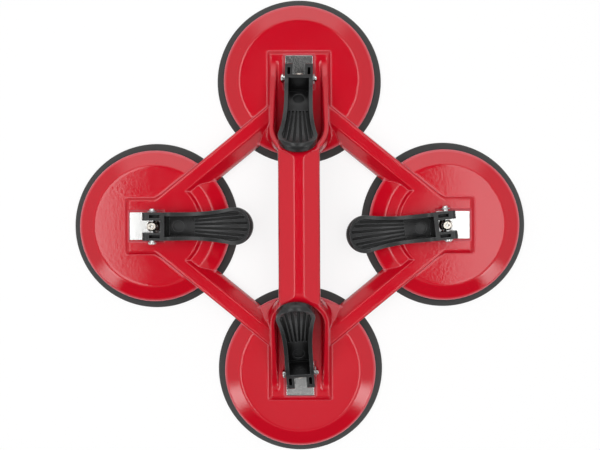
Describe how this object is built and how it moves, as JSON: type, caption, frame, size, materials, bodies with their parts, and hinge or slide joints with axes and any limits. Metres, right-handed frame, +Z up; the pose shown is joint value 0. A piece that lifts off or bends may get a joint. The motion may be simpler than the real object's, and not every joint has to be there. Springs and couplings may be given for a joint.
{
  "type": "glass suction cup lifter",
  "caption": "Suction lifter: rubber cups under a red die-cast frame with a central handle bar; black cam levers pull each pad up to grip a glass pane.",
  "frame": {"origin": "centre of the lifter, on the plane of the suction faces", "axes": "+Z up, away from the glass; +Y along the handle bar towards the back cup; +X towards the right cup"},
  "size_m": [0.3234, 0.3234, 0.0805],
  "materials": {
    "red_casting": "gloss",
    "pad_rubber": "matte",
    "plate_steel": "satin",
    "insert_steel": "satin",
    "stud_steel": "satin",
    "lever_plastic": "satin",
    "pin_steel": "satin",
    "clip_steel": "satin"
  },
  "bodies": {
    "frame": {"frame_casting": "red_casting", "left_suction_pad": "pad_rubber", "left_wear_plate": "plate_steel", "right_suction_pad": "pad_rubber", "right_wear_plate": "plate_steel", "back_suction_pad": "pad_rubber", "back_wear_plate": "plate_steel", "front_suction_pad": "pad_rubber", "front_wear_plate": "plate_steel"},
    "left_pull": {"left_pad_insert": "insert_steel"},
    "left_swivel": {"left_pull_stud": "stud_steel"},
    "left_cam_lever": {"left_lever": "lever_plastic", "left_lever_pin": "pin_steel", "left_pin_clip": "clip_steel"},
    "right_pull": {"right_pad_insert": "insert_steel"},
    "right_swivel": {"right_pull_stud": "stud_steel"},
    "right_cam_lever": {"right_lever": "lever_plastic", "right_lever_pin": "pin_steel", "right_pin_clip": "clip_steel"},
    "back_pull": {"back_pad_insert": "insert_steel"},
    "back_swivel": {"back_pull_stud": "stud_steel"},
    "back_cam_lever": {"back_lever": "lever_plastic", "back_lever_pin": "pin_steel", "back_pin_clip": "clip_steel"},
    "front_pull": {"front_pad_insert": "insert_steel"},
    "front_swivel": {"front_pull_stud": "stud_steel"},
    "front_cam_lever": {"front_lever": "lever_plastic", "front_lever_pin": "pin_steel", "front_pin_clip": "clip_steel"}
  },
  "joints": [
    {"name": "left_pad_slide", "type": "slide", "parent": "frame", "child": "left_pull", "axis": [0, 0, 1], "range_m": [-0.00361, 0], "deforming": ["left_suction_pad"]},
    {"name": "left_stud_swivel", "type": "hinge", "parent": "left_pull", "child": "left_swivel", "pos_m": [-0.1027, 0, 0.0323], "axis": [0, 0, 1], "range_deg": [-8, 8]},
    {"name": "left_lever_hinge", "type": "hinge", "parent": "left_swivel", "child": "left_cam_lever", "pos_m": [-0.1027, 0, 0.0323], "axis": [0, -1, 0], "range_deg": [0, 90]},
    {"name": "right_pad_slide", "type": "slide", "parent": "frame", "child": "right_pull", "axis": [0, 0, 1], "range_m": [-0.00361, 0], "deforming": ["right_suction_pad"]},
    {"name": "right_stud_swivel", "type": "hinge", "parent": "right_pull", "child": "right_swivel", "pos_m": [0.1027, 0, 0.0323], "axis": [0, 0, 1], "range_deg": [-14.1, 1.9]},
    {"name": "right_lever_hinge", "type": "hinge", "parent": "right_swivel", "child": "right_cam_lever", "pos_m": [0.1027, 0, 0.0323], "axis": [-0.1063, 0.9943, 0], "range_deg": [0, 90]},
    {"name": "back_pad_slide", "type": "slide", "parent": "frame", "child": "back_pull", "axis": [0, 0, 1], "range_m": [-0.00196, 0], "deforming": ["back_suction_pad"]},
    {"name": "back_stud_swivel", "type": "hinge", "parent": "back_pull", "child": "back_swivel", "pos_m": [0, 0.1027, 0.03065], "axis": [0, 0, 1], "range_deg": [-5, 7]},
    {"name": "back_lever_hinge", "type": "hinge", "parent": "back_swivel", "child": "back_cam_lever", "pos_m": [0, 0.1027, 0.03065], "axis": [-0.9998, 0.0175, 0], "range_deg": [0, 48.8]},
    {"name": "front_pad_slide", "type": "slide", "parent": "frame", "child": "front_pull", "axis": [0, 0, 1], "range_m": [-0.00196, 0], "deforming": ["front_suction_pad"]},
    {"name": "front_stud_swivel", "type": "hinge", "parent": "front_pull", "child": "front_swivel", "pos_m": [0, -0.1027, 0.03065], "axis": [0, 0, 1], "range_deg": [-9.6, 2.4]},
    {"name": "front_lever_hinge", "type": "hinge", "parent": "front_swivel", "child": "front_cam_lever", "pos_m": [0, -0.1027, 0.03065], "axis": [0.998, 0.0628, 0], "range_deg": [0, 48.8]}
  ],
  "couplings": [
    {"joint": "left_pad_slide", "follows": "left_lever_hinge", "m_per_rad": -0.0022918},
    {"joint": "right_pad_slide", "follows": "right_lever_hinge", "m_per_rad": -0.0022918},
    {"joint": "back_pad_slide", "follows": "back_lever_hinge", "m_per_rad": -0.0022918},
    {"joint": "front_pad_slide", "follows": "front_lever_hinge", "m_per_rad": -0.0022918}
  ]
}
